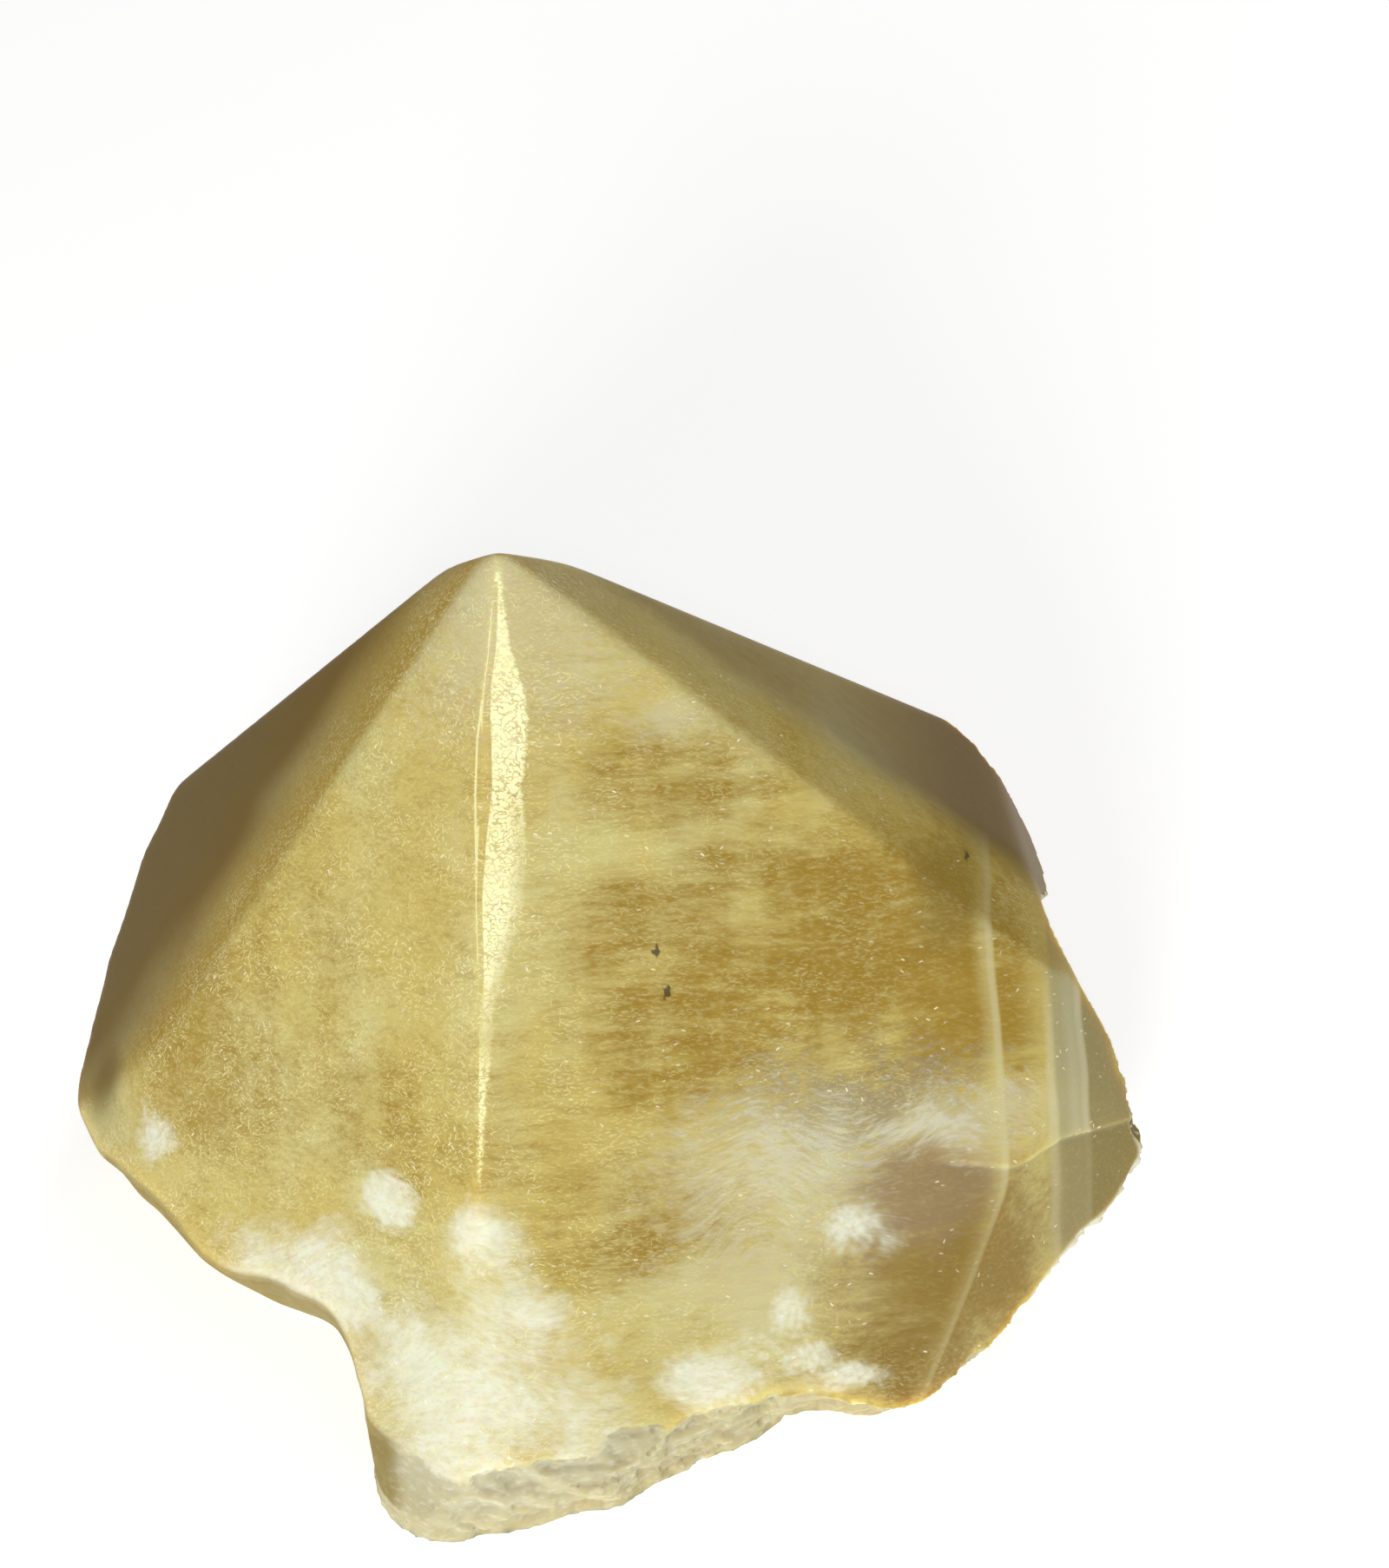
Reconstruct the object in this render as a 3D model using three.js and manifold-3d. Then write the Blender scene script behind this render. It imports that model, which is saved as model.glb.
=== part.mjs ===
// A polished point of orange calcite. One broken block of banded calcite: the top is ground and polished
// to a blunt six-sided point, the sides and the foot are left as they broke, and the underside is sawn flat
// so that it stands. Millimetres, +Z up, origin under the middle of the block on the sawn face, front is -Y.
import * as THREE from "three";
import { mergeVertices } from "three/addons/utils/BufferGeometryUtils.js";
import Module from "manifold-3d";

const wasm = await Module();
wasm.setup();

// The tip stands left of and behind the middle of the block.
const HEIGHT = 69;
const TIP = new THREE.Vector3(-8, 14.3, HEIGHT);

// Each polished facet is a flat: the way it faces round the block (degrees from +X), its slope below level,
// and how far outside the tip its flat passes.
const FACETS = [
  { faces: -166, slope: 53, outside: 0 }, // left
  { faces: -130, slope: 55, outside: 0 }, // front left
  { faces: -72, slope: 50.5, outside: 0 }, // front right
  { faces: 20, slope: 38, outside: 0 }, // right
  { faces: 66, slope: 48, outside: 1 }, // back right
  { faces: 117, slope: 58, outside: 1.3 }, // back left
  { faces: -10, slope: 35.5, outside: 0 }, // shoulder between front right and right
  { faces: 95, slope: 47, outside: -0.3 }, // back
  { faces: 0, slope: 0, outside: -0.9 }, // the tip itself, worn blunt
  { faces: -148, slope: 60, outside: 7.6 }, // corner low on the left
  { faces: 10, slope: 64, outside: 27.4 }, // edge broken away on the right
  { faces: -32, slope: 62.5, outside: 28 }, // side face low on the right
  { faces: -46, slope: 71, outside: 33.7 }, // face under it, low at the front right
];

// The strip ground along the edge between front left and front right, and the narrower one on its left. Both
// are a little hollow: how they face, how far down the edge the deepest place is, how deep, and how far they run
// each way from there.
const STRIPS = [
  { faces: -85, slope: 48.9, along: 25, depth: 0.5, reach: 26 },
  { faces: -113, slope: 50.5, along: 20, depth: 0.3, reach: 16 },
];

// The broken skin seen from above, anticlockwise from the right: x, y at its widest, and how far the sawn
// face is tucked in under it.
const SKIN = [
  [51.6, -4.5, 6],
  [50.6, -1.7, 5],
  [48.2, -0.2, 4],
  [45.3, 0.9, 3],
  [43, 3.6, 2],
  [42.2, 9, 2],
  [43.2, 17, 3],
  [42.3, 23, 3],
  [38, 29.5, 2],
  [33, 33, 1],
  [24, 38.5, 2],
  [10, 42, 3],
  [-8, 43, 2],
  [-24, 40, 3],
  [-34, 34, 2],
  [-41.7, 27.3, 2],
  [-45, 24.7, 3],
  [-46.9, 20.7, 4],
  [-49.4, 15, 5],
  [-50.9, 9.4, 6],
  [-52.3, 4.5, 6],
  [-50.6, -0.8, 6],
  [-44.6, -7.6, 7],
  [-40.8, -12, 7],
  [-37, -16.6, 7],
  [-32.4, -19.8, 7],
  [-26.9, -22.4, 7],
  [-23.4, -24.9, 6],
  [-21.7, -29, 4],
  [-20.6, -33.5, 1.5],
  [-19.4, -36.5, 0.5],
  [-16.4, -38.6, -1],
  [-12, -39.2, -2],
  [-7, -38.2, -1.2],
  [-2, -38, -0.8],
  [2.5, -37.6, -0.6],
  [5.8, -35.4, 0.2],
  [9.5, -32.6, -0.5],
  [13, -31.2, -1],
  [16, -30.2, -0.5],
  [18.9, -30.3, 1.5],
  [22.5, -30.7, 4],
  [28.9, -31.5, 4],
  [33.1, -28.8, 4],
  [37.3, -25.1, 4],
  [40.4, -21, 4],
  [43, -16.9, 4],
  [47.1, -12.5, 5],
  [50.2, -8.2, 6],
];
const TUCK_HEIGHT = 9;
const SKIN_STEPS = 200;
const SKIN_LEVELS = [0, 1.2, 2.6, 4.2, 6, 8, 10.5, 13, 16, 19, 22, 25, 28, 31, 35, 40];
const BLOCK_TOP = 80;
const LUMP = 2.2;
const LEDGE = 1.3;

const radians = THREE.MathUtils.degToRad;

// A repeatable number from 0 to 1 for a point of the whole-number grid.
function grain(i, j, k) {
  const s = Math.sin(i * 127.1 + j * 311.7 + k * 74.7) * 43758.5453;
  return s - Math.floor(s);
}

// Smooth noise from -1 to 1 with one lump for each unit.
function noise(x, y, z) {
  const [i, j, k] = [Math.floor(x), Math.floor(y), Math.floor(z)];
  const ease = (t) => t * t * (3 - 2 * t);
  const [u, v, w] = [ease(x - i), ease(y - j), ease(z - k)];
  const mix = THREE.MathUtils.lerp;
  const row = (b, c) => mix(grain(i, b, c), grain(i + 1, b, c), u);
  const sheet = (c) => mix(row(j, c), row(j + 1, c), v);
  return 2 * mix(sheet(k), sheet(k + 1), w) - 1;
}

// How far a broken surface stands in or out at a point: lumps, finer lumps, and ledges where layers came off.
function breakage(p) {
  const lumps = noise(p.x / 13, p.y / 13, p.z / 9) + 0.5 * noise(p.x / 5 + 7, p.y / 5, p.z / 4);
  const layers = noise(p.x / 17 + 3, p.y / 17, p.z / 6) * 2.5;
  const ledges = Math.floor(layers) + THREE.MathUtils.smoothstep(layers - Math.floor(layers), 0.7, 1) - layers;
  return LUMP * 0.6 * lumps + LEDGE * (ledges + 0.5);
}

function solidOf(geometry) {
  const bare = geometry.index ? geometry.toNonIndexed() : geometry;
  const shape = new THREE.BufferGeometry().setAttribute("position", bare.getAttribute("position"));
  const merged = mergeVertices(shape, 1e-4);
  return new wasm.Manifold(
    new wasm.Mesh({
      numProp: 3,
      vertProperties: merged.attributes.position.array,
      triVerts: new Uint32Array(merged.index.array),
    }),
  );
}

// The block before grinding: the broken skin as rings from the sawn face up, closed above the tip.
function block() {
  const outline = new THREE.CatmullRomCurve3(SKIN.map(([x, y, tuck]) => new THREE.Vector3(x, y, tuck)), true);
  const around = outline.getSpacedPoints(SKIN_STEPS).slice(0, SKIN_STEPS);
  const levels = [...SKIN_LEVELS, BLOCK_TOP];
  const points = [];
  for (const z of levels) {
    for (const q of around) {
      const out = new THREE.Vector3(q.x, q.y, 0).normalize();
      const tucked = q.z * (1 - THREE.MathUtils.smoothstep(z, 0, TUCK_HEIGHT));
      const p = new THREE.Vector3(q.x, q.y, z).addScaledVector(out, -tucked);
      points.push(p.addScaledVector(out, z < BLOCK_TOP ? breakage(p) : 0));
    }
  }
  const under = points.push(new THREE.Vector3(0, 0, 0)) - 1;
  const over = points.push(new THREE.Vector3(0, 0, BLOCK_TOP)) - 1;
  const faces = [];
  const top = (levels.length - 1) * SKIN_STEPS;
  for (let i = 0; i < SKIN_STEPS; i++) {
    const next = (i + 1) % SKIN_STEPS;
    faces.push(under, next, i, over, top + i, top + next);
    for (let ring = 0; ring < top; ring += SKIN_STEPS) {
      const [a, b, c, d] = [ring + i, ring + next, ring + SKIN_STEPS + next, ring + SKIN_STEPS + i];
      faces.push(a, b, c, a, c, d);
    }
  }
  const geometry = new THREE.BufferGeometry().setFromPoints(points);
  geometry.setIndex(faces);
  return solidOf(geometry);
}

// The way a face looks that faces so round the block and slopes so.
function facing(faces, slope) {
  const level = Math.sin(radians(slope));
  return new THREE.Vector3(
    level * Math.cos(radians(faces)),
    level * Math.sin(radians(faces)),
    Math.cos(radians(slope)),
  );
}

// What the grinding of one facet takes away: a slab that lies on the outside of its flat.
function groundAway({ faces, slope, outside }) {
  const size = 400;
  const slab = new THREE.BoxGeometry(size, size, size).translate(0, 0, size / 2 + outside);
  slab.rotateY(radians(slope)).rotateZ(radians(faces));
  return solidOf(slab.translate(TIP.x, TIP.y, TIP.z));
}

// What the wheel takes away that grinds a strip: its rim runs along the edge, its axle crosses the edge.
function wheel({ faces, slope, along, depth, reach }) {
  const width = 30;
  const radius = (reach * reach) / (2 * depth);
  const out = facing(faces, slope);
  const down = facing(FACETS[2].faces, FACETS[2].slope).cross(facing(FACETS[1].faces, FACETS[1].slope)).normalize();
  const axle = new THREE.Vector3().crossVectors(down, out).normalize();
  const centre = TIP.clone().addScaledVector(down, along).addScaledVector(out, radius - depth);
  const rim = new THREE.CylinderGeometry(radius, radius, width, 480);
  const pose = new THREE.Matrix4().makeBasis(out, axle, new THREE.Vector3().crossVectors(out, axle));
  return solidOf(rim.applyMatrix4(pose.setPosition(centre)));
}

let stone = block();
for (const facet of FACETS) stone = stone.subtract(groundAway(facet));
for (const strip of STRIPS) stone = stone.subtract(wheel(strip));

const cut = stone.getMesh();
const geometry = new THREE.BufferGeometry();
geometry.setAttribute("position", new THREE.BufferAttribute(cut.vertProperties, 3));
geometry.setIndex(new THREE.BufferAttribute(cut.triVerts, 1));
const calcite = new THREE.MeshStandardMaterial({ color: 0xc8ae66, roughness: 0.35, metalness: 0 });
const point = new THREE.Mesh(geometry.toNonIndexed(), calcite);
point.geometry.computeVertexNormals();
point.geometry.computeBoundingBox();
const middle = point.geometry.boundingBox.getCenter(new THREE.Vector3());
point.geometry.translate(-middle.x, -middle.y, 0);
point.name = "calcite_point";

const part = new THREE.Group();
part.add(point);
export default part;
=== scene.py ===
import math

import bmesh
import bpy
import numpy as np
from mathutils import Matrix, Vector, noise


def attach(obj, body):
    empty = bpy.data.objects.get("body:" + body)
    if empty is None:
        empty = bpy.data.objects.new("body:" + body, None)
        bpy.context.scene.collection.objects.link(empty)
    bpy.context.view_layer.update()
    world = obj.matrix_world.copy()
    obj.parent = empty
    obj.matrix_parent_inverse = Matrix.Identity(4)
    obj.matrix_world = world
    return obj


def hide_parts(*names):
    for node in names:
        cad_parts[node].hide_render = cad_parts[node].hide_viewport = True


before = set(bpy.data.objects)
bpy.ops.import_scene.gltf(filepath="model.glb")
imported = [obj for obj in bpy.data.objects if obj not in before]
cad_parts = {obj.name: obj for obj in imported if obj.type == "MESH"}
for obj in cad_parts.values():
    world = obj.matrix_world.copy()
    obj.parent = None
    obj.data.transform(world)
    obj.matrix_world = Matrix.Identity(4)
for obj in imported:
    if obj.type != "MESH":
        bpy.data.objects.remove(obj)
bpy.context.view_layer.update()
MM = 0.001

# The stone
# One block of banded honey calcite. The top is ground by hand to a blunt six-sided point, with small faces
# at its corners, and polished. The sides and the foot are left as they broke, and the underside is sawn.

# The ground faces: the way each one looks (degrees round from +X), its slope below level, and how far
# outside the tip its flat passes, in millimetres.
TIP = np.array([-8.43, 13.13, 69.0])
GROUND = {
    "front_left": (-130, 55, 0.0),
    "front_right": (-72, 50.5, 0.0),
    "left": (-166, 53, 0.0),
    "right": (20, 38, 0.0),
    "back_right": (66, 48, 1.0),
    "back_left": (117, 58, 1.3),
    "shoulder": (-10, 35.5, 0.0),
    "back": (95, 47, -0.3),
    "blunt_tip": (0, 0, 0.45),
    "left_corner": (-148, 60, 7.6),
    "right_edge": (10, 64, 27.4),
    "right_side": (-32, 62.5, 28.0),
    "right_foot": (-46, 71, 33.7),
}
# The two strips ground along the front edge: the way they look, their slope, and how deep they cut the edge
# at so many millimetres down it.
STRIPS = [
    (-85, 48.9, [0.5, 3, 5, 9, 12, 15, 18, 21, 26, 31, 34, 38, 41, 45, 50, 58],
     [0.12, 0.14, 0.17, 0.30, 0.50, 0.60, 0.58, 0.52, 0.62, 0.62, 0.50, 0.32, 0.20, 0.15, 0.10, 0.04]),
    (-113, 50.5, [3, 7, 12, 17, 22, 30, 36, 40],
     [0.0, 0.10, 0.22, 0.36, 0.36, 0.25, 0.14, 0.0]),
]
# How much further out two of the back faces stand than in the solid, to follow the top outline closely.
PROUD = {"back_left": 0.9, "back_right": 0.6}
EDGE_ROUNDING = 0.3
FRONT_EDGE_ROUNDING = 0.04
FRONT_FOOT_ROUNDING = 1.34
FRONT_ROUNDS_FROM, FRONT_ROUNDS_TO = 56.0, 68.0
GRAIN_SIZE = 0.42
MOST_TRIANGLES = 190000


def looking(faces, slope):
    """The unit arrow out of a face that looks that way and slopes that much, both in degrees."""
    turn, tilt = math.radians(faces), math.radians(slope)
    return np.array([math.sin(tilt) * math.cos(turn), math.sin(tilt) * math.sin(turn), math.cos(tilt)])


normals = np.array([looking(faces, slope) for faces, slope, _ in GROUND.values()])
outside = np.array([out for _, _, out in GROUND.values()])
down_edge = np.cross(normals[1], normals[0])
down_edge /= np.linalg.norm(down_edge)


def rise(values, low, high):
    """0 below low, 1 above high, and smooth between."""
    t = np.clip((values - low) / (high - low), 0, 1)
    return t * t * (3 - 2 * t)


def meet(depths, ways, rounding):
    """The outermost of several ground faces, the edges between them rounded by about that much."""
    top = depths.max(axis=1, keepdims=True)
    share = np.exp((depths - top) / rounding)
    total = share.sum(axis=1, keepdims=True)
    depth = (top + rounding * np.log(total))[:, 0]
    return depth, np.einsum("ij,ijk->ik", share / total, ways)


def ground_depth(p):
    """How far points stand outside the ground top, the way each is pushed, and how far in each strip."""
    d = (p - TIP) @ normals.T - outside
    ways = np.broadcast_to(normals, (len(p), len(normals), 3))
    down = (p - TIP) @ down_edge
    worn_foot = rise(down, FRONT_ROUNDS_FROM, FRONT_ROUNDS_TO)
    front_rounding = FRONT_EDGE_ROUNDING + (FRONT_FOOT_ROUNDING - FRONT_EDGE_ROUNDING) * worn_foot
    front, front_way = meet(d[:, :2], ways[:, :2], front_rounding[:, None])
    d = np.column_stack([front, d[:, 2:]])
    ways = np.concatenate([front_way[:, None], ways[:, 2:]], axis=1)
    depth, way = meet(d, ways, EDGE_ROUNDING)
    cuts = []
    for faces, slope, places, cut_depths in STRIPS:
        out = looking(faces, slope)
        in_strip = (p - TIP) @ out + np.interp(down, places, cut_depths, left=-1, right=-1)
        cuts.append(in_strip - depth)
        way = np.where((in_strip > depth)[:, None], out, way)
        depth = np.maximum(depth, in_strip)
    return depth, way, cuts


def grind(p, polished):
    """Brings polished points onto the ground top, and everything else inside it and above the sawn base."""
    for _ in range(3):
        depth, way, _ = ground_depth(p)
        move = np.where(polished | (depth > 0), depth, 0.0)
        p = p - way * (move / (way * way).sum(axis=1))[:, None]
    p[:, 2] = np.maximum(p[:, 2], 0.0)
    return p


def spread(values, ends, rounds):
    """Averages a value with its neighbours along the mesh edges, several times over."""
    count = np.bincount(ends.ravel(), minlength=len(values))
    for _ in range(rounds):
        total = np.bincount(ends[:, 0], values[ends[:, 1]], len(values))
        total += np.bincount(ends[:, 1], values[ends[:, 0]], len(values))
        values = 0.5 * values + 0.5 * total / count
    return values


def chips(points, size):
    """Height of a surface broken into small flat chips, each tilted its own way, from about -1 to 1."""
    heights = np.empty(len(points))
    for i, point in enumerate(points):
        spot = Vector(point) / size
        spot += 0.35 * noise.noise_vector(spot * 0.9)
        centre = noise.voronoi(spot)[1][0]
        tilt = noise.cell_vector(centre * 7.13) * 2 - Vector((1, 1, 1))
        heights[i] = tilt.dot(spot - centre) + 0.35 * (noise.cell(centre * 3.71) * 2 - 1)
    return heights


def lumps(points, size):
    """Height of a softly lumpy surface, from about -1 to 1."""
    return np.array([noise.fractal(Vector(point) / size, 0.8, 2.1, 3) for point in points])


# The block is copied from the CAD solid, joined up, and remade with grains of even size.
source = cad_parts["calcite_point"]
stone_mesh = source.data.copy()
joined = bmesh.new()
joined.from_mesh(stone_mesh)
bmesh.ops.remove_doubles(joined, verts=joined.verts, dist=1e-7)
bmesh.ops.recalc_face_normals(joined, faces=joined.faces)
joined.to_mesh(stone_mesh)
joined.free()
stone = bpy.data.objects.new("calcite", stone_mesh)
bpy.context.scene.collection.objects.link(stone)
remake = stone.modifiers.new("grains", "REMESH")
remake.mode = "VOXEL"
remake.voxel_size = GRAIN_SIZE * MM
fine_mesh = bpy.data.meshes.new_from_object(stone.evaluated_get(bpy.context.evaluated_depsgraph_get()))
stone.modifiers.clear()
stone.data = fine_mesh

count = len(fine_mesh.vertices)
points = np.empty(count * 3)
fine_mesh.vertices.foreach_get("co", points)
points = points.reshape(-1, 3) / MM
ends = np.empty(len(fine_mesh.edges) * 2, dtype=np.int64)
fine_mesh.edges.foreach_get("vertices", ends)
ends = ends.reshape(-1, 2)
facing = np.empty(count * 3)
fine_mesh.vertices.foreach_get("normal", facing)
facing = facing.reshape(-1, 3)

# Broken skin is what lies inside the ground top and above the sawn base. It is rough with chips, lumps and
# thin ledges, less so at the left, where it is worn, and it nicks the rims of the ground faces.
POLISHED_WITHIN = 0.45
SAWN_WITHIN = 0.25
FOOT_LEFT, FOOT_RIGHT, FOOT_BACK = -24, 6, -20
FOOT_BREAK_HEIGHT, FOOT_BREAK_SLOPE, FOOT_BREAK_LUMPS = 6.4, 0.08, 0.9
LARGE_CHIP, LARGE_CHIP_DEPTH = 5.5, 0.42
SMALL_CHIP, SMALL_CHIP_DEPTH = 1.9, 0.3
LUMP, LUMP_DEPTH = 3.0, 0.2
LEDGE, LEDGE_DEPTH = 1.9, 0.35
SHALLOWEST_NICK = 0.14
WORN_SMOOTH = 0.88
RIM_ROUNDS, WIDE_RIM_ROUNDS, WEAR_ROUNDS = 16, 60, 36
CHIP_SEED = 1

depth, _, _ = ground_depth(points)
polished = depth > -POLISHED_WITHIN
outside += [PROUD.get(name, 0.0) for name in GROUND]
sawn = points[:, 2] < SAWN_WITHIN
foot_break = FOOT_BREAK_HEIGHT + FOOT_BREAK_SLOPE * (points[:, 0] + 10)
foot_break += FOOT_BREAK_LUMPS * lumps(points, 4.0)
in_foot = (points[:, 0] > FOOT_LEFT) & (points[:, 0] < FOOT_RIGHT) & (points[:, 1] < FOOT_BACK)
polished &= ~(in_foot & (points[:, 2] < foot_break))
broken = spread(np.where(polished | sawn, 0.0, 1.0), ends, 2)
points = grind(points, polished)
near_rim = spread(broken, ends, RIM_ROUNDS)
around_rim = spread(near_rim, ends, WIDE_RIM_ROUNDS)
rough = np.nonzero(near_rim > 0.01)[0]
left = rise(-points[:, 0], 10.0, 19.0)
height = np.zeros(count)
noise.seed_set(CHIP_SEED)
height[rough] = LARGE_CHIP_DEPTH * chips(points[rough], LARGE_CHIP)
height[rough] += SMALL_CHIP_DEPTH * chips(points[rough] + 50, SMALL_CHIP)
height[rough] += LUMP_DEPTH * lumps(points[rough], LUMP)
ledge = (points[:, 2] + 0.8 * height + 0.1 * points[:, 0]) / LEDGE
height += LEDGE_DEPTH * (ledge - np.floor(ledge) - 0.5)
height *= 1 - WORN_SMOOTH * left
nick = np.clip(-height - SHALLOWEST_NICK, 0, 1) * np.clip(near_rim * 2.2 - 0.35, 0, 1)
move = height * broken - nick * (1 - broken)
move[sawn] = 0

# A flake is gone from the right-hand end: a thin step runs across it, and fades out below.
FLAKE_DEPTH, FLAKE_LENGTH, FLAKE_STEP = 0.5, 7.0, 0.45
FLAKE_TOP_X = [28.0, 31.2, 39.4, 43.3, 51.5]
FLAKE_TOP_Z = [21.8, 20.9, 18.7, 18.2, 14.1]
below = np.interp(points[:, 0], FLAKE_TOP_X, FLAKE_TOP_Z) - points[:, 2]
flake = rise(below, 0.0, FLAKE_STEP) * np.exp(-np.maximum(below, 0) / FLAKE_LENGTH)
flake *= rise(points[:, 0], 29.0, 34.0) * (facing[:, 1] < 0.1) * (1 - broken)
move -= FLAKE_DEPTH * flake
points = grind(points + facing * move[:, None], polished & (nick < 0.01) & (flake < 0.01))
worn = np.clip(2.2 * around_rim, 0, 1) * left * rise(points[:, 2], 1.0, 3.0)
soft = np.column_stack([spread(points[:, i], ends, WEAR_ROUNDS) for i in range(3)])
points += (soft - points) * worn[:, None]
points[sawn, 2] = 0
frosted = np.clip(broken + 4 * nick, 0, 1)
_, _, cuts = ground_depth(points - 0.02 * facing)

# The mesh carries where it is broken, worn, ground to a strip and flaked, for the material. Then it is
# thinned out, least where it is rough and along the strips.
fine_mesh.vertices.foreach_set("co", (points * MM).ravel())
fine_mesh.update()
marks = {
    "broken": frosted,
    "rim": near_rim,
    "worn": worn * around_rim,
    "strip": cuts[0],
    "thin_strip": cuts[1],
    "flake": flake,
}
for name, values in marks.items():
    attribute = fine_mesh.attributes.new(name, "FLOAT", "POINT")
    attribute.data.foreach_set("value", values.astype(np.float32))
keep = stone.vertex_groups.new(name="keep")
by_strip = np.maximum(cuts[0], cuts[1]) > -0.15
tenths = np.round(10 * np.clip(near_rim * 1.5 + flake + by_strip, 0.1, 1))
for tenth in range(1, 11):
    kept = np.nonzero(tenths == tenth)[0]
    keep.add(kept.tolist(), tenth / 10, "REPLACE")
thin_out = stone.modifiers.new("thin_out", "DECIMATE")
thin_out.ratio = MOST_TRIANGLES / (2 * len(fine_mesh.polygons))
thin_out.vertex_group = "keep"
thin_out.invert_vertex_group = True
dressed = bpy.data.meshes.new_from_object(stone.evaluated_get(bpy.context.evaluated_depsgraph_get()))
stone.modifiers.clear()
stone.vertex_groups.clear()
stone.data = dressed
dressed.polygons.foreach_set("use_smooth", [True] * len(dressed.polygons))
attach(stone, "root")
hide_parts("calcite_point")


class Socket:
    """A node socket that sums can be written with: each operator adds one Math node."""

    def __init__(self, tree, socket):
        self.tree = tree
        self.socket = socket

    def node(self, kind, settings=None, **inputs):
        """Adds a node of that kind, its settings first, then the values or links of its sockets.

        A socket is given by its name, or as i0, i1 and so on by its number.
        """
        node = self.tree.nodes.new(kind)
        for name, value in (settings or {}).items():
            setattr(node, name, value)
        for name, value in inputs.items():
            key = int(name[1:]) if name[1:].isdigit() else name
            if isinstance(value, Socket):
                self.tree.links.new(value.socket, node.inputs[key])
            else:
                node.inputs[key].default_value = value
        return node

    def out(self, node, name=0):
        """That output of a node, ready for sums."""
        return Socket(self.tree, node.outputs[name])

    def sum(self, operation, a, b=0.0):
        """One Math node."""
        return self.out(self.node("ShaderNodeMath", {"operation": operation}, i0=a, i1=b))

    def __add__(self, other):
        return self.sum("ADD", self, other)

    def __sub__(self, other):
        return self.sum("SUBTRACT", self, other)

    def __mul__(self, other):
        return self.sum("MULTIPLY", self, other)

    def __truediv__(self, other):
        return self.sum("DIVIDE", self, other)

    def __radd__(self, other):
        return self.sum("ADD", other, self)

    def __rsub__(self, other):
        return self.sum("SUBTRACT", other, self)

    def __rmul__(self, other):
        return self.sum("MULTIPLY", other, self)

    def abs(self):
        return self.sum("ABSOLUTE", self)

    def root(self):
        return self.sum("SQRT", self)

    def at_least(self, other):
        return self.sum("MAXIMUM", self, other)

    def at_most(self, other):
        return self.sum("MINIMUM", self, other)

    def step(self, low, high):
        """0 below low, 1 above high, and smooth between."""
        settings = {"interpolation_type": "SMOOTHSTEP"}
        return self.out(self.node("ShaderNodeMapRange", settings, i0=self, i1=low, i2=high, i3=0.0, i4=1.0))

    def over(self, under, colour):
        """That colour laid over the one under it, as much as this value says."""
        settings = {"data_type": "RGBA", "blend_type": "MIX"}
        return self.out(self.node("ShaderNodeMix", settings, i0=self, i6=under, i7=colour), 2)

    def vector(self, operation, a, b=(0.0, 0.0, 0.0), c=(0.0, 0.0, 0.0), output=0):
        """One Vector Math node; its output 1 is the number that lengths and dot products give."""
        node = self.node("ShaderNodeVectorMath", {"operation": operation}, i0=a, i1=b, i2=c)
        return self.out(node, output)

    def noise(self, where, scale, detail=2.0, roughness=0.5, stretch=(1.0, 1.0, 1.0), shift=0.0, output=0):
        """Cloudy noise from 0 to 1, with scale clouds to the millimetre before it is stretched."""
        scales = tuple(scale * part for part in stretch)
        placed = self.vector("MULTIPLY_ADD", where, scales, (shift, shift * 1.7, shift * 0.6))
        inputs = {"Vector": placed, "Scale": 1.0, "Detail": detail, "Roughness": roughness}
        return self.out(self.node("ShaderNodeTexNoise", **inputs), output)

    def near(self, where, centre, reach):
        """1 at the centre of an egg-shaped place, falling evenly to 0 at its reach, and below beyond."""
        offset = self.vector("SUBTRACT", where, centre)
        offset = self.vector("DIVIDE", offset, reach)
        return 1.0 - self.vector("LENGTH", offset, output=1)

    def near_any(self, where, places):
        """The same for the nearest of several places."""
        nearest = self.near(where, *places[0])
        for centre, reach in places[1:]:
            nearest = nearest.at_least(self.near(where, centre, reach))
        return nearest


# The calcite itself: honey coloured and cloudy, so that light goes some millimetres into it.
HONEY = (0.60, 0.49, 0.155, 1)
PALE_HONEY = (0.63, 0.575, 0.26, 1)
YELLOW_HONEY = (0.60, 0.52, 0.19, 1)
AMBER = (0.36, 0.235, 0.035, 1)
# A painted glow colour, for light coming through near the front edges.
GLOW_AMBER = (0.38, 0.235, 0.01, 1)
MILK = (0.80, 0.82, 0.70, 1)
VEIL = (0.62, 0.58, 0.40, 1)
FIBRE = (0.86, 0.80, 0.44, 1)
# The colour of the painted glints.
GLINT = (0.95, 0.93, 0.78, 1)
ROSE_GREY = (0.34, 0.28, 0.165, 1)
ROSE_BROWN = (0.33, 0.235, 0.125, 1)
BROWN = (0.29, 0.19, 0.045, 1)
OLIVE = (0.27, 0.205, 0.065, 1)
DARK_OLIVE = (0.20, 0.145, 0.035, 1)
OLIVE_GREY = (0.40, 0.37, 0.20, 1)
# Painted shade colours, for the faces turned from the light.
SHADE_BROWN = (0.155, 0.10, 0.018, 1)
WARM_SHADE_BROWN = (0.175, 0.10, 0.004, 1)
CRUST = (0.34, 0.315, 0.165, 1)
# The painted highlight on the ground strips.
STRIP_HIGHLIGHT = (0.88, 0.87, 0.52, 1)
SPECK = (0.05, 0.045, 0.02, 1)

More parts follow.
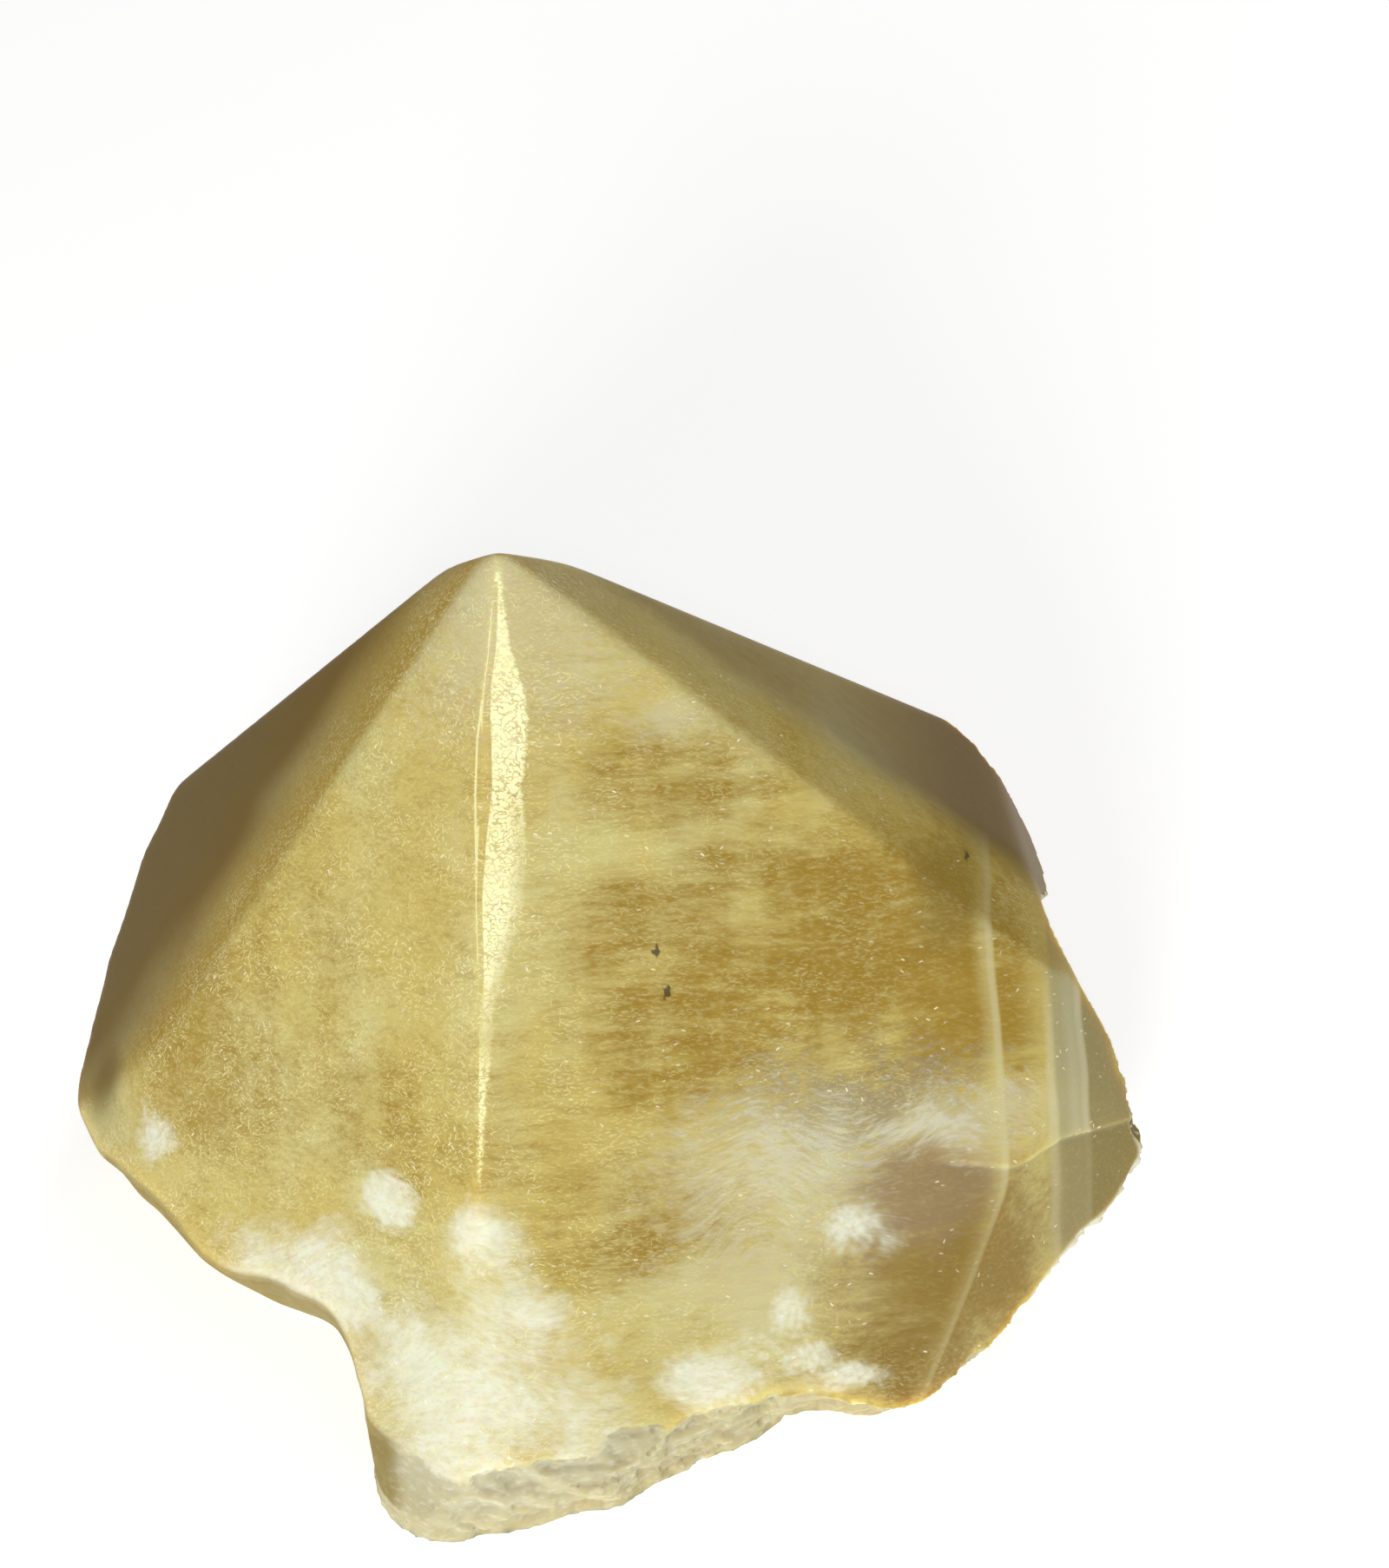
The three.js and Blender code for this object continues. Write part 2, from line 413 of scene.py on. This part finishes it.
# Where the colours lie in the stone: each place has its centre and its reach, in millimetres.
PALE_PLACES = [
    ((-7.0, 8.0, 67.0), (20.0, 18.0, 19.0)),
    ((10.0, 6.0, 56.0), (9.0, 5.0, 5.0)),
]
AMBER_PLACES = [
    ((22.0, -5.0, 37.0), (26.0, 15.0, 14.0)),
    ((32.0, -5.0, 33.5), (15.0, 15.0, 12.0)),
    ((14.0, -11.5, 33.0), (24.0, 7.0, 7.5)),
    ((2.0, -24.5, 21.5), (13.0, 8.0, 7.0)),
    ((4.0, -13.0, 33.0), (13.0, 9.0, 9.0)),
    ((39.5, -4.0, 32.0), (7.0, 14.0, 14.0)),
    ((-33.0, -7.0, 26.0), (12.0, 12.0, 13.0)),
    ((-17.0, -18.0, 27.0), (16.0, 10.0, 8.0)),
    ((-28.0, -2.0, 36.0), (10.0, 9.0, 10.0)),
    ((9.0, 2.0, 51.5), (14.0, 6.0, 7.5)),
    ((2.5, -6.5, 41.0), (9.0, 6.0, 6.0)),
]
DEEP_AMBER_PLACES = [
    ((33.0, 0.5, 37.0), (8.0, 14.0, 13.0)),
    ((34.5, -6.5, 31.0), (9.0, 8.0, 7.0)),
    ((-38.0, -2.0, 26.0), (9.0, 13.0, 17.0)),
    ((-36.0, -9.5, 19.5), (8.0, 7.0, 7.0)),
]
# Where shade is painted on the shoulder face.
SHADED_SHOULDER = ((33.5, 1.5, 38.5), (7.0, 10.0, 8.0))
# The clouds also have their colour, how wispy and how dense they are.
CLOUDS = [
    ((24.0, -13.5, 26.0), (17.0, 8.0, 5.5), ROSE_GREY, 1.6, 0.85),
    ((16.5, -19.0, 22.5), (16.0, 10.0, 9.0), VEIL, 1.6, 0.5),
    ((14.0, -25.0, 15.0), (13.0, 8.0, 6.5), VEIL, 1.6, 0.4),
    ((34.0, -21.5, 12.0), (18.0, 14.0, 11.5), BROWN, 0.5, 0.95),
    ((28.5, -29.0, 7.0), (10.0, 6.0, 6.5), BROWN, 0.5, 0.9),
    ((30.0, -17.5, 19.0), (11.0, 8.0, 6.0), ROSE_BROWN, 0.9, 0.85),
    ((34.0, -12.0, 22.6), (15.0, 7.0, 4.0), VEIL, 1.6, 0.65),
]
SILVER_PLACES = [
    ((18.0, -17.5, 23.5), (15.0, 9.0, 7.0)),
    ((30.0, -13.5, 23.0), (11.0, 6.0, 3.5)),
]
MILK_PLACES = [
    ((-11.5, -35.5, 12.0), (15.0, 12.0, 11.0)),
    ((-10.0, -39.5, 7.0), (15.0, 9.0, 7.0)),
    ((-27.0, -22.5, 12.5), (13.0, 7.0, 4.6)),
    ((-9.4, -27.6, 22.4), (4.6, 4.2, 3.2)),
    ((-6.0, -30.5, 17.5), (5.0, 6.0, 4.0)),
    ((23.6, -21.6, 17.0), (4.6, 3.6, 2.6)),
    ((11.5, -32.0, 9.4), (6.5, 3.4, 2.2)),
    ((15.5, -30.0, 10.8), (4.0, 3.2, 2.2)),
    ((18.2, -28.2, 12.4), (3.6, 3.2, 2.6)),
    ((19.5, -30.0, 9.2), (3.4, 3.0, 2.0)),
    ((22.5, -30.6, 7.1), (5.0, 3.0, 1.6)),
    ((-41.5, -7.5, 15.0), (3.4, 3.6, 4.2)),
]
MILK_BLOT = ((-18.4, -21.5, 21.9), (3.6, 3.6, 2.6))
SMOOTH_PLACE = ((36.0, -20.0, 13.0), (18.0, 15.0, 14.0))
# Where shade is painted at the lower left corner.
SHADED_CORNER = ((-49.0, -2.5, 16.5), (5.5, 7.5, 8.5))
SPECK_REACH = (0.4, 0.9, 0.9)
SPECKS = [(5.6, -7.7, 39.7), (6.5, -10.0, 36.8), (34.2, 6.3, 38.2)]
# Thin pale sheets in the clear end: how far along they stand, how wide and how dense they are.
SHEETS = [(43.9, 0.6, 0.45), (46.0, 0.9, 0.25), (47.0, 0.5, 0.45)]
# The pale growth layer at the right: how far across it stands and how high it bends, how much it leans above
# and below the bend, how softly it bends, and how much it curves towards the back.
PALE_LAYER_ACROSS = 37.6
PALE_LAYER_BEND = 17.5
LEAN_ABOVE, LEAN_BELOW = 0.094, 0.6
BEND_SOFTNESS = 3.0
CURVE_BEHIND = 0.003
# How far to the right the stone turns clear, and then olive.
CLEAR_FROM, OLIVE_FROM = 44.0, 47.2
MM_PER_METRE = 1000.0

calcite = bpy.data.materials.new("calcite")
calcite.use_nodes = True
tree = calcite.node_tree
shader = tree.nodes["Principled BSDF"]
s = Socket(tree, shader.outputs[0])
where = s.out(s.node("ShaderNodeTexCoord"), "Object")
where = s.vector("MULTIPLY", where, (MM_PER_METRE, MM_PER_METRE, MM_PER_METRE))
surface = s.out(s.node("ShaderNodeNewGeometry"), "Normal")


def mark(name):
    """One of the values that the mesh carries."""
    return s.out(s.node("ShaderNodeAttribute", {"attribute_name": name}), "Fac")


def lean(place, scale, reach, shift):
    """The place moved about by noise, so that borders drawn from it wander."""
    push = s.vector("SUBTRACT", s.noise(place, scale, 0.0, shift=shift, output="Color"), (0.5, 0.5, 0.5))
    return s.vector("MULTIPLY_ADD", push, (2 * reach, 2 * reach, 2 * reach), place)


broken_skin = mark("broken").step(0.05, 0.5)
bent = lean(where, scale=0.11, reach=3.5, shift=1.0)
feathered = lean(bent, scale=1.3, reach=0.8, shift=2.0)

# Growth layers stand across the stone as curved sheets. Their distance is counted from the pale one at the
# right, which leans a little to the left above its bend and runs to the left below it.
axes = s.node("ShaderNodeSeparateXYZ", i0=where)
across, back, up = (s.out(axes, i) for i in range(3))
above_bend = (up - PALE_LAYER_BEND).at_least(0.0)
bend = PALE_LAYER_BEND - up
below_bend = 0.5 * (bend + (bend * bend + BEND_SOFTNESS).root())
behind = back.at_least(0.0)
layer = across - PALE_LAYER_ACROSS + LEAN_ABOVE * above_bend + LEAN_BELOW * below_bend
layer = layer - CURVE_BEHIND * behind * behind
layer = layer + 0.7 * (s.noise(where, 0.15, 0.0) - 0.5)
layered = s.out(s.node("ShaderNodeCombineXYZ", i0=layer * 0.22, i1=back * 0.02, i2=up * 0.02))
layer_tone = s.noise(layered, 1.0, 2.0, 0.7)

# Amber lies in it in streaks along the fibres, most of it in the right-hand face.
clouds = s.noise(where, 0.06, 2.0, 0.6, (1.3, 0.8, 0.8)).step(0.38, 0.66)
colour = clouds.over(HONEY, PALE_HONEY)
pale_there = s.near_any(bent, PALE_PLACES)
along_fibres = lean(where, scale=0.05, reach=1.6, shift=3.0)
wide_streaks = s.noise(along_fibres, 1.0, 1.0, 0.6, (0.04, 0.2, 0.26), 4.0) - 0.5
streaks = s.noise(along_fibres, 1.0, 2.0, 0.6, (0.05, 0.9, 1.2), 6.0) - 0.5
brushed = lean(where, scale=0.25, reach=0.6, shift=5.0)
brush = s.noise(brushed, 1.0, 1.0, 0.7, (0.25, 2.2, 2.8), 15.0) - 0.5
amber_there = s.near_any(bent, AMBER_PLACES).step(-0.15, 0.8)
rightwards = across.step(-8.0, 10.0)
amber = 0.18 + amber_there * (0.3 + 0.42 * rightwards)
amber = amber + (0.7 + 0.5 * amber_there * rightwards) * (wide_streaks + 1.3 * streaks)
amber = amber + (0.75 - 0.4 * rightwards) * brush + (0.3 + 0.9 * amber_there) * (layer_tone - 0.5)
colour = amber.step(-0.1, 1.15).over(colour, AMBER)
deep_amber = s.near_any(bent, DEEP_AMBER_PLACES)
colour = ((deep_amber + 0.6 * streaks).step(0.0, 0.8) * 0.7).over(colour, AMBER)
# Painted shade on the shoulder face at the right, in dark olive.
shoulder_shade = s.near(bent, *SHADED_SHOULDER)
colour = ((shoulder_shade + 0.6 * streaks).step(0.0, 0.6) * 0.5).over(colour, DARK_OLIVE)

# A fibrous cloud at the lower right, rose-grey above, milky at its left and brown below.
wandering = lean(where, scale=0.2, reach=2.5, shift=8.0)
swirling = lean(where, scale=0.09, reach=5.0, shift=21.0)
wisps = s.noise(swirling, 1.0, 2.0, 0.75, (0.3, 1.5, 1.9), 23.0) - 0.5
colour = ((pale_there + 1.2 * wisps).step(0.0, 0.9) * 0.6).over(colour, VEIL)
for centre, reach, tint, wispy, strength in CLOUDS:
    there = (s.near(wandering, centre, reach) + 0.4 * streaks + wispy * wisps).step(-0.1, 0.75)
    colour = (there * strength).over(colour, tint)
silver = s.near_any(wandering, SILVER_PLACES)
silver = (silver + 2.4 * wisps + 0.8 * brush).step(0.2, 1.2)
colour = (silver * 0.38).over(colour, MILK)

# To the right of the pale layer the stone turns clear, with thin pale layers in it.
beyond = across + 0.08 * up + 1.2 * (s.noise(where, 0.1, 1.0, 0.6, shift=30.0) - 0.5)
flaked = mark("flake").step(0.02, 0.3)
colour = (beyond.step(40.4, 43.8) * (0.6 - 0.35 * flaked)).over(colour, YELLOW_HONEY)
colour = (beyond.step(CLEAR_FROM, CLEAR_FROM + 0.5) * 0.85).over(colour, OLIVE_GREY)
colour = (beyond.step(OLIVE_FROM, OLIVE_FROM + 0.4) * 0.7).over(colour, OLIVE)
whole_layer = 0.4 + 0.6 * up.step(14.0, 19.0)
colour = (layer.step(-1.8, 0.3) * (1.0 - layer.step(0.4, 0.8)) * whole_layer * 0.55).over(colour, PALE_HONEY)
colour = ((1.0 - (layer - 0.2).abs().step(0.1, 0.5)) * whole_layer * 0.35).over(colour, VEIL)
for place, width, strength in SHEETS:
    sheet = (1.0 - (beyond - place).abs().step(width * 0.1, width * 1.2)) * (1.0 - up.step(27.0, 34.0))
    colour = (sheet * (strength * (0.3 + 1.4 * layer_tone))).over(colour, VEIL)
colour = (flaked * beyond.step(42.0, 46.0) * 0.7).over(colour, OLIVE)

# Milk-white clouds, feathered at the border.
milk_there = s.near_any(feathered, MILK_PLACES)
felt = s.noise(swirling, 1.0, 2.0, 0.7, (0.6, 1.3, 1.3), 12.0).step(0.3, 0.7)
milk = milk_there + 1.3 * (s.noise(where, 0.17, 3.0, 0.6) - 0.5) + 0.6 * wisps
barely_moved = s.vector("ADD", where, s.vector("SUBTRACT", feathered, bent))
blot = s.near(barely_moved, *MILK_BLOT)
milk = milk.at_least(blot * 1.6 + 0.6 * wisps)
milk = milk.step(-0.15, 0.75)
colour = (milk * (0.66 + 0.3 * felt)).over(colour, MILK)

# Painted shade darkens the faces turned from the light; near the front edges a painted amber glow shows
# instead.
under_front = s.vector("SUBTRACT", where, tuple(TIP))
under_left = s.vector("DOT_PRODUCT", under_front, tuple(normals[0]), output=1)
under_right = s.vector("DOT_PRODUCT", under_front, tuple(normals[1]), output=1)
deep = 0.0 - under_left.at_least(under_right)
left_side = (0.0 - across).step(2.0, 12.0)
glow = 1.0 - (deep + 2.0 * (s.noise(where, 0.12, 0.0) - 0.5) - 3.5 * (1.0 - left_side)).step(0.6, 6.0)
facing_from_light = s.out(s.node("ShaderNodeSeparateXYZ", i0=surface), 1).step(-0.42, -0.25)
away_from_light = deep.step(0.1, 1.0) * facing_from_light
shade = away_from_light * (1.0 - glow) * (0.6 + 0.38 * left_side.at_least(across.step(20.0, 36.0)))
colour = (away_from_light * glow * (0.45 + 0.4 * left_side)).over(colour, GLOW_AMBER)


# Fibres as fine as hairs lie in the surface.
def hairs(size, length, width, share, level, shift):
    """Short fibres, one in some of the cells of that size, the more level the higher that value is."""
    moved = s.vector("ADD", where, (shift, shift, shift))
    settings = {"voronoi_dimensions": "3D", "feature": "F1"}
    cells = s.node("ShaderNodeTexVoronoi", settings, Vector=moved, Scale=1.0 / size)
    spot, dice = s.out(cells, "Position"), s.out(cells, "Color")
    aside = s.vector("CROSS_PRODUCT", s.vector("SUBTRACT", moved, spot), surface)
    flatter = s.out(s.node("ShaderNodeCombineXYZ", i0=1.0 + level, i1=1.0, i2=1.0))
    lie = s.vector("MULTIPLY", s.vector("SUBTRACT", dice, (0.5, 0.5, 0.5)), flatter)
    lie = s.vector("NORMALIZE", s.vector("CROSS_PRODUCT", lie, surface))
    along = s.vector("DOT_PRODUCT", aside, lie, output=1)
    off = s.vector("LENGTH", s.vector("CROSS_PRODUCT", aside, lie), output=1)
    parts = s.node("ShaderNodeSeparateColor", i0=dice)
    there = s.out(parts, 1).step(1.0 - share, 1.05 - share)
    body = (1.0 - off.step(width * 0.3, width)) * (1.0 - along.abs().step(length * 0.25, length * 0.5))
    return body * there * (0.3 + 0.7 * s.out(parts, 2))


level = 0.8 + 4.0 * across.step(-12.0, 4.0)
fine_hairs = hairs(size=0.45, length=0.5, width=0.075, share=0.75, level=level, shift=0.0)
long_hairs = hairs(size=0.75, length=0.85, width=0.085, share=0.55, level=level, shift=3.3)
fibres = fine_hairs.at_least(long_hairs)
grain = s.noise(where, 1.0, 1.0, 0.7, (0.9, 3.2, 3.2), 9.0)
smooth_there = s.near(bent, *SMOOTH_PLACE).step(0.0, 0.4).at_least(beyond.step(42.6, 44.6))
smooth_there = smooth_there.at_least(0.7 * deep_amber.step(-0.1, 0.4) * rightwards)
grainy = grain.step(0.45, 0.8) * (0.4 - 0.25 * smooth_there)
colour = (grainy * (1.0 - shade)).over(colour, PALE_HONEY)
crowded = s.noise(where, 0.22, 1.0, 0.6, shift=40.0).step(0.36, 0.66)
felted = (0.26 + 0.5 * crowded) * (1.0 - 0.5 * rightwards) * (1.0 - 0.9 * smooth_there)
colour = (fibres * felted * (1.0 - 0.85 * shade)).over(colour, FIBRE)
# Painted highlights: short bright glints on some fibres, most where the fibres crowd, none in the painted
# shade.
glints = hairs(size=1.3, length=0.5, width=0.1, share=0.22, level=level, shift=7.7)
colour = (glints * (0.15 + 0.8 * crowded) * (1.0 - shade)).over(colour, GLINT)

# The ground strips, pitted, with a painted highlight on them and a pale line in that colour along the left
# one.
strip_depth = mark("strip")
thin_depth = mark("thin_strip")
on_strip = (strip_depth + 0.12 * (grain - 0.5)).step(0.0, 0.06)
on_strip = on_strip * (1.0 - (thin_depth + 0.24).step(0.0, 0.05))
left_line = 1.0 - (strip_depth.at_least(thin_depth) - 0.02).abs().step(0.008, 0.045)
left_line = left_line * (thin_depth + 0.1).step(0.0, 0.05)
pitted = 1.0 - (s.noise(where, 1.0, 1.0, 0.6, (1.5, 2.0, 2.0), 7.0) - 0.5).abs().step(0.02, 0.06)
pitted = pitted * (0.45 + 0.55 * crowded)
full = up.step(46.0, 54.0).at_least(1.0 - up.step(33.0, 38.0))
shine = 0.15 + 0.85 * strip_depth.step(0.0, 0.34).at_least(full)
colour = (on_strip * shine * (1.0 - 0.85 * pitted) * 0.9).over(colour, STRIP_HIGHLIGHT)
colour = (left_line * 0.7).over(colour, STRIP_HIGHLIGHT)

# Broken skin is dull and patchy. Its rim is pale, dark along the lower right and worn at the left.
crust = s.noise(where, 0.35, 2.0, 0.65, (0.6, 0.8, 1.6)).step(0.35, 0.65)
crust_colour = crust.over(CRUST, OLIVE)
crumbs = s.noise(where, 1.3, 1.0, 0.7, (0.6, 0.8, 1.8)).step(0.5, 0.7)
crust_colour = (crumbs * 0.4).over(crust_colour, MILK)
lower_right = across.step(12.0, 22.0) * (1.0 - across.step(36.0, 42.0))
colour = (broken_skin * (0.8 - 0.15 * milk)).over(colour, crust_colour)
colour = (broken_skin * lower_right * 0.6).over(colour, BROWN)
rim = mark("rim").step(0.08, 0.4) * (1.0 - shade)
worn_rim = mark("worn").step(0.06, 0.3) * (1.0 - across.step(-19.0, -16.5))
lower_rim = across.step(4.0, 12.0) * (1.0 - across.step(36.0, 42.0))
lower_rim = lower_rim * (1.0 - broken_skin)
colour = (rim * (1.0 - worn_rim) * (1.0 - lower_rim) * 0.5).over(colour, VEIL)
colour = (rim * lower_rim * (0.75 - 0.45 * milk)).over(colour, DARK_OLIVE)
colour = (rim * across.step(38.0, 42.0) * 0.6).over(colour, MILK)
colour = (worn_rim * 0.8).over(colour, OLIVE)
# Painted shade at the lower left corner of the left face, in dark olive.
corner_shade = s.near(bent, *SHADED_CORNER).step(0.0, 0.45)
colour = (corner_shade * 0.9).over(colour, DARK_OLIVE)
# The painted shade itself, warmer at the right and near the front edges, half as strong on broken skin.
warmer_shade = across.step(-4.0, 12.0).at_least(1.0 - deep.step(3.0, 11.0))
shade_colour = warmer_shade.over(SHADE_BROWN, WARM_SHADE_BROWN)
colour = (shade * (1.0 - 0.5 * broken_skin)).over(colour, shade_colour)
crumbling = lean(where, scale=1.6, reach=0.45, shift=27.0)
for centre in SPECKS:
    speck = s.near(crumbling, centre, SPECK_REACH).step(0.0, 0.5)
    colour = (speck * 0.8).over(colour, SPECK)

# Polished stone lets the light in. Broken skin is partly that and partly a second, closed shader, which
# alone has the fine bumps. Lengths here are in metres.
SCATTER_LENGTH = 0.004
SCATTER_RED_GREEN_BLUE = (1.0, 0.62, 0.2)
CALCITE_IOR = 1.5
SHINE_LEVEL = 0.1
BUMP_HEIGHT = 0.0004
CLOSED_SHARE = 0.55
roughness = 0.36 + 0.14 * grain + 0.25 * milk + 0.4 * broken_skin
roughness = (roughness - 0.2 * on_strip * (1.0 - pitted)).at_most(0.9)
relief = s.noise(where, 0.8, 2.0, 0.75)
bump = s.node("ShaderNodeBump", Height=relief, Strength=0.7, Distance=BUMP_HEIGHT)
skin = s.node("ShaderNodeBsdfPrincipled", Normal=s.out(bump))
mixed = s.node("ShaderNodeMixShader", Fac=broken_skin * CLOSED_SHARE, i1=s.out(shader), i2=s.out(skin))
tree.links.new(mixed.outputs[0], tree.nodes["Material Output"].inputs["Surface"])
for finish in (shader, skin):
    tree.links.new(colour.socket, finish.inputs["Base Color"])
    tree.links.new(roughness.socket, finish.inputs["Roughness"])
    finish.inputs["Specular IOR Level"].default_value = SHINE_LEVEL
    finish.inputs["IOR"].default_value = CALCITE_IOR
shader.inputs["Subsurface Weight"].default_value = 1.0
shader.inputs["Subsurface Radius"].default_value = SCATTER_RED_GREEN_BLUE
shader.inputs["Subsurface Scale"].default_value = SCATTER_LENGTH
stone.data.materials.clear()
stone.data.materials.append(calcite)

# The floor
# A pale matt table top, wide enough to fill the picture from the front, and a little lit from within near
# the stone.
TABLE_SIDE = 4.0
PALE_GREY = (0.86, 0.86, 0.86, 1)
MATT = 0.8
LIFT = 0.52
LIFT_FADES_FROM, LIFT_FADES_TO = 0.28, 0.6
half = TABLE_SIDE / 2
corners = [(-half, -half, 0), (half, -half, 0), (half, half, 0), (-half, half, 0)]
floor_mesh = bpy.data.meshes.new("floor")
floor_mesh.from_pydata(corners, [], [(0, 1, 2, 3)])
floor = bpy.data.objects.new("floor", floor_mesh)
bpy.context.scene.collection.objects.link(floor)
floor_paint = bpy.data.materials.new("floor_paint")
floor_paint.use_nodes = True
paint = floor_paint.node_tree.nodes["Principled BSDF"]
paint.inputs["Base Color"].default_value = PALE_GREY
paint.inputs["Roughness"].default_value = MATT
paint.inputs["Emission Strength"].default_value = LIFT
f = Socket(floor_paint.node_tree, paint.outputs[0])
distance = f.vector("LENGTH", f.out(f.node("ShaderNodeTexCoord"), "Object"), output=1)
lifted = 1.0 - 0.6 * distance.step(LIFT_FADES_FROM, LIFT_FADES_TO)
floor_paint.node_tree.links.new(lifted.socket, paint.inputs["Emission Color"])
floor_mesh.materials.append(floor_paint)

# The lights
# A soft key in front and low, a small front light by the camera that makes the ground strip shine, a wide
# weak one behind, and a dim pale room.
LIGHTS_AIM_HEIGHT = 0.03
ROOM_COLOUR = (1.0, 0.99, 0.97, 1)
ROOM_BRIGHTNESS = 0.25


def soft_light(name, azimuth, elevation, distance, size, power):
    """A round lamp that far from the stone, in metres, facing it from that side and height, in degrees."""
    lamp = bpy.data.lights.new(name, "AREA")
    lamp.shape, lamp.size, lamp.energy = "DISK", size, power
    holder = bpy.data.objects.new(name, lamp)
    toward = Vector(looking(azimuth, 90 - elevation))
    holder.location = Vector((0, 0, LIGHTS_AIM_HEIGHT)) + toward * distance
    holder.rotation_euler = toward.to_track_quat("Z", "Y").to_euler()
    bpy.context.scene.collection.objects.link(holder)


soft_light("key", azimuth=-102, elevation=16, distance=0.9, size=0.30, power=4.8)
soft_light("front", azimuth=-87, elevation=44, distance=0.45, size=0.06, power=0.4)
soft_light("back", azimuth=60, elevation=45, distance=0.9, size=0.40, power=1.4)
room = bpy.data.worlds.new("room")
room.use_nodes = True
room.node_tree.nodes["Background"].inputs["Color"].default_value = ROOM_COLOUR
room.node_tree.nodes["Background"].inputs["Strength"].default_value = ROOM_BRIGHTNESS
bpy.context.scene.world = room
bpy.context.scene.view_settings.view_transform = "Standard"

# The camera
# In front of the stone and 42 degrees above it, close enough that near things look a little larger.
LONG_SIDE_PIXELS = 1806
PIXELS_PER_RADIAN = 3477
SENSOR = 36.0
LOOKS_DOWN = math.radians(42)
DISTANCE = 285 * MM
AIM = Vector((8.97, 14.23, 40.0)) * MM
camera_data = bpy.data.cameras.new("camera")
camera_data.sensor_fit = "AUTO"
camera_data.sensor_width = SENSOR
camera_data.lens = SENSOR * PIXELS_PER_RADIAN / LONG_SIDE_PIXELS
camera_data.clip_start = 0.01
camera = bpy.data.objects.new("camera", camera_data)
look_back = Vector((0, -math.cos(LOOKS_DOWN), math.sin(LOOKS_DOWN)))
camera.location = AIM + look_back * DISTANCE
camera.rotation_euler = look_back.to_track_quat("Z", "Y").to_euler()
bpy.context.scene.collection.objects.link(camera)
bpy.context.scene.camera = camera
